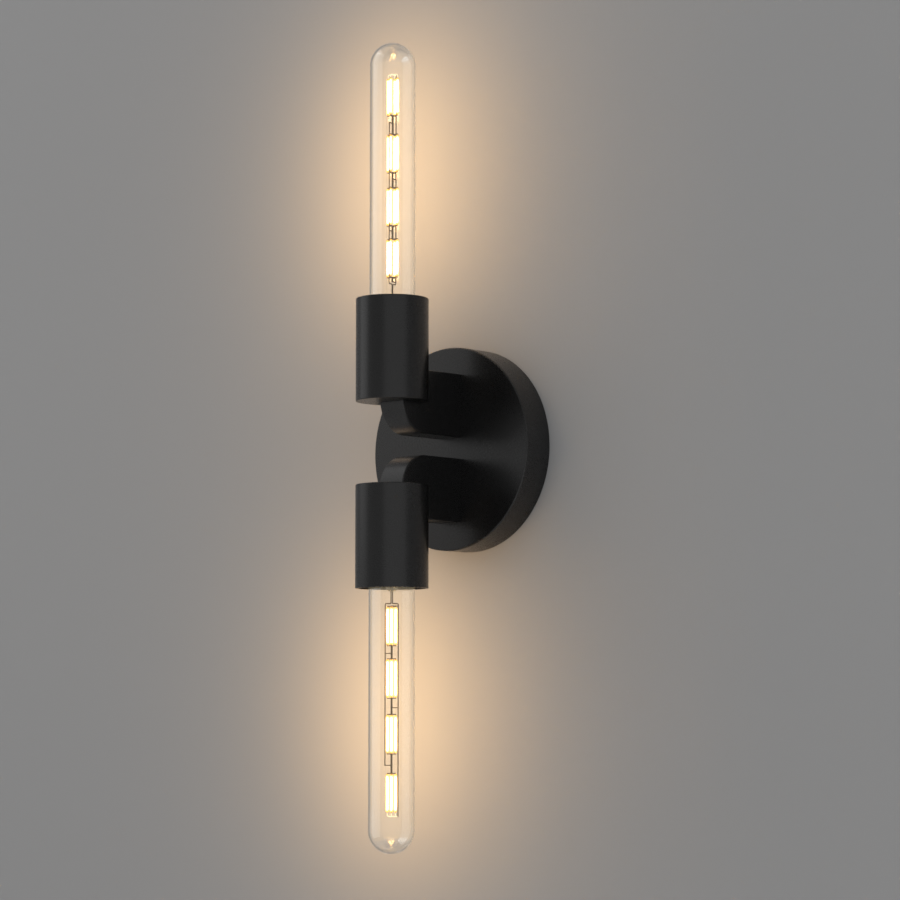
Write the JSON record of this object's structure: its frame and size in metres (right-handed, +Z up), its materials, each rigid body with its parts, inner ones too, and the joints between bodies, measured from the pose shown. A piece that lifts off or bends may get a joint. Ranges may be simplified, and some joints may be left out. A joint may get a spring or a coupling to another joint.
{
  "type": "vanity light",
  "caption": "Vanity wall light with a round canopy, cast arms bent up and down, and plain cylindrical cups that hold clear tubular filament bulbs.",
  "frame": {"origin": "centre of the canopy on the wall plane, midway between the two box-screw slots", "axes": "+Y into the wall, +Z up along the bulbs, +X to the right seen from the room"},
  "size_m": [0.135, 0.1016, 0.5266],
  "materials": {
    "black_powder_coat": "matte fine-grained black powder coat",
    "zinc_plated_steel": "bright zinc plate",
    "black_screw": "black oxide",
    "green_screw": "green dyed plate",
    "tinned_copper": "dull tin",
    "black_rubber": "matte",
    "red_moulding": "moulded, semi-gloss",
    "green_insulation": "satin extruded insulation",
    "black_insulation": "satin extruded insulation",
    "white_insulation": "satin extruded insulation",
    "white_ceramic": "glazed",
    "socket_brass": "rolled sheet",
    "nickel_plated_base": "nickel plate",
    "black_base_glass": "vitrite, glossy",
    "clear_glass": "clear, polished",
    "stem_glass": "clear, flame-worked",
    "nickel_wire": "drawn nickel wire",
    "lit_filament": "phosphor sleeve, lit warm white",
    "board_laminate": "bare laminate"
  },
  "bodies": {
    "root": {"canopy": "black_powder_coat", "mounting_strap": "zinc_plated_steel", "canopy_set_screws": "black_screw", "ground_screw": "green_screw", "ground_stud": "zinc_plated_steel", "ground_nut": "zinc_plated_steel", "ground_lead": "green_insulation", "ground_terminals": "tinned_copper", "canopy_grommets": "black_rubber", "hot_wire_nut": "red_moulding", "neutral_wire_nut": "red_moulding", "arm_screws": "zinc_plated_steel", "cup_screws": "black_screw", "cup_bushings": "black_rubber", "lampholder_screws": "zinc_plated_steel", "upper_arm": "black_powder_coat", "upper_socket_cup": "black_powder_coat", "upper_lampholder": "white_ceramic", "upper_screw_shell": "socket_brass", "upper_centre_contact": "socket_brass", "upper_hot_lead": "black_insulation", "upper_neutral_lead": "white_insulation", "lower_arm": "black_powder_coat", "lower_socket_cup": "black_powder_coat", "lower_lampholder": "white_ceramic", "lower_screw_shell": "socket_brass", "lower_centre_contact": "socket_brass", "lower_hot_lead": "black_insulation", "lower_neutral_lead": "white_insulation"},
    "upper_bulb_tip": {"upper_bulb_tip_contact": "tinned_copper"},
    "upper_bulb": {"upper_bulb_base_shell": "nickel_plated_base", "upper_bulb_base_insulator": "black_base_glass", "upper_bulb_glass": "clear_glass", "upper_bulb_glass_stem": "stem_glass", "upper_bulb_support_wires": "nickel_wire", "upper_bulb_filament_ties": "nickel_wire", "upper_bulb_filament_sticks": "lit_filament", "upper_bulb_driver_board": "board_laminate"},
    "lower_bulb_tip": {"lower_bulb_tip_contact": "tinned_copper"},
    "lower_bulb": {"lower_bulb_base_shell": "nickel_plated_base", "lower_bulb_base_insulator": "black_base_glass", "lower_bulb_glass": "clear_glass", "lower_bulb_glass_stem": "stem_glass", "lower_bulb_support_wires": "nickel_wire", "lower_bulb_filament_ties": "nickel_wire", "lower_bulb_filament_sticks": "lit_filament", "lower_bulb_driver_board": "board_laminate"}
  },
  "joints": [
    {"name": "upper_bulb_lift", "type": "slide", "parent": "root", "child": "upper_bulb_tip", "axis": [0, 0, 1], "range_m": [0, 0.02187]},
    {"name": "upper_bulb_turn", "type": "hinge", "parent": "upper_bulb_tip", "child": "upper_bulb", "pos_m": [0, -0.078, 0.0383], "axis": [0, 0, 1], "range_deg": [0, 2160]},
    {"name": "lower_bulb_lift", "type": "slide", "parent": "root", "child": "lower_bulb_tip", "axis": [0, 0, -1], "range_m": [0, 0.02187]},
    {"name": "lower_bulb_turn", "type": "hinge", "parent": "lower_bulb_tip", "child": "lower_bulb", "pos_m": [0, -0.078, -0.0383], "axis": [0, 0, -1], "range_deg": [0, 2160]}
  ],
  "couplings": [
    {"joint": "upper_bulb_lift", "follows": "upper_bulb_turn", "m_per_rad": 0.00057757},
    {"joint": "lower_bulb_lift", "follows": "lower_bulb_turn", "m_per_rad": 0.00057757}
  ]
}
